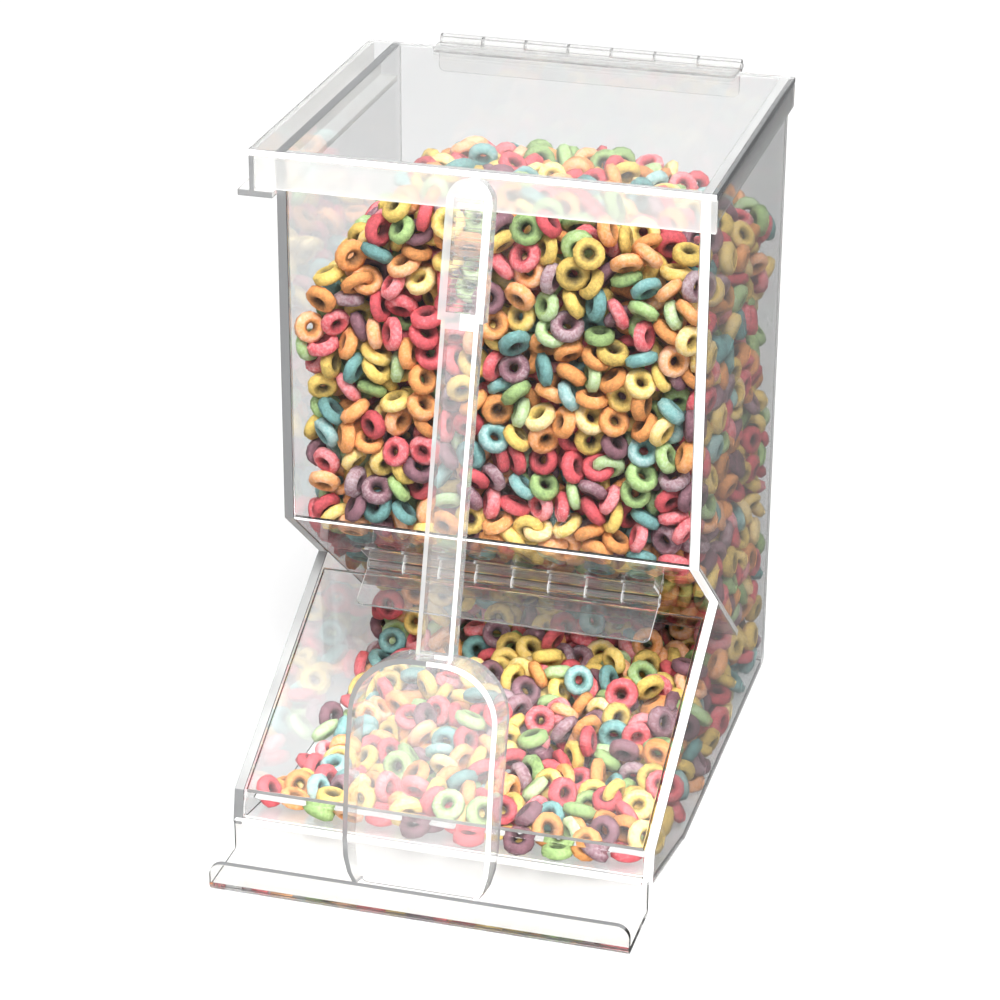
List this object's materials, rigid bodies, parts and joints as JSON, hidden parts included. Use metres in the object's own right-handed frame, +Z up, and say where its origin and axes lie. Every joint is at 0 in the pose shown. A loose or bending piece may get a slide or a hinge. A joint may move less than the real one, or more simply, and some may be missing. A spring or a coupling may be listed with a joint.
{
  "type": "candy bin",
  "caption": "Clear sheet-plastic food bin with a rear-hinged lid, a hopper over a hinged scoop door, a front tray and a long-handled scoop.",
  "frame": {"origin": "on the counter under the hopper's front face, on the centre line between the sides", "axes": "+Z up, +X to the right seen from the front, +Y towards the back"},
  "size_m": [0.2092, 0.2827, 0.3062],
  "materials": {
    "clear_sheet": "clear cast acrylic sheet, polished edges",
    "clear_lid": "clear cast acrylic sheet, lightly rubbed",
    "clear_hinge": "clear extruded hinge plastic",
    "hinge_pin": "clear rod",
    "clear_moulding": "clear moulded polycarbonate, glossy"
  },
  "bodies": {
    "bin": {"left_panel": "clear_sheet", "right_panel": "clear_sheet", "back_panel": "clear_sheet", "front_panel": "clear_sheet", "baffle_panel": "clear_sheet", "floor_panel": "clear_sheet", "retaining_lip": "clear_sheet", "scoop_tray": "clear_sheet", "lid_hinge_back_leaf": "clear_hinge", "lid_hinge_pin": "hinge_pin", "door_hinge_fixed_leaf": "clear_hinge", "door_hinge_pin": "hinge_pin"},
    "lid": {"lid_plate": "clear_lid", "lid_front_lip": "clear_lid", "lid_right_skirt": "clear_lid", "lid_left_rail": "clear_lid", "lid_hinge_top_leaf": "clear_hinge"},
    "door": {"door_panel": "clear_sheet", "door_hinge_moving_leaf": "clear_hinge"},
    "scoop": {"scoop": "clear_moulding"}
  },
  "joints": [
    {"name": "lid_hinge", "type": "hinge", "parent": "bin", "child": "lid", "pos_m": [0, 0.1685, 0.303], "axis": [-1, 0, 0], "range_deg": [0, 105]},
    {"name": "door_hinge", "type": "hinge", "parent": "bin", "child": "door", "pos_m": [0, 0.04061, 0.08998], "axis": [-1, 0, 0], "range_deg": [0, 70]},
    {"name": "scoop_lift", "type": "slide", "parent": "bin", "child": "scoop", "axis": [0, -0.342, 0.9397], "range_m": [0, 0.11]}
  ],
  "couplings": [
    {"joint": "scoop_lift", "follows": "door_hinge", "m_per_rad": 0.09}
  ]
}
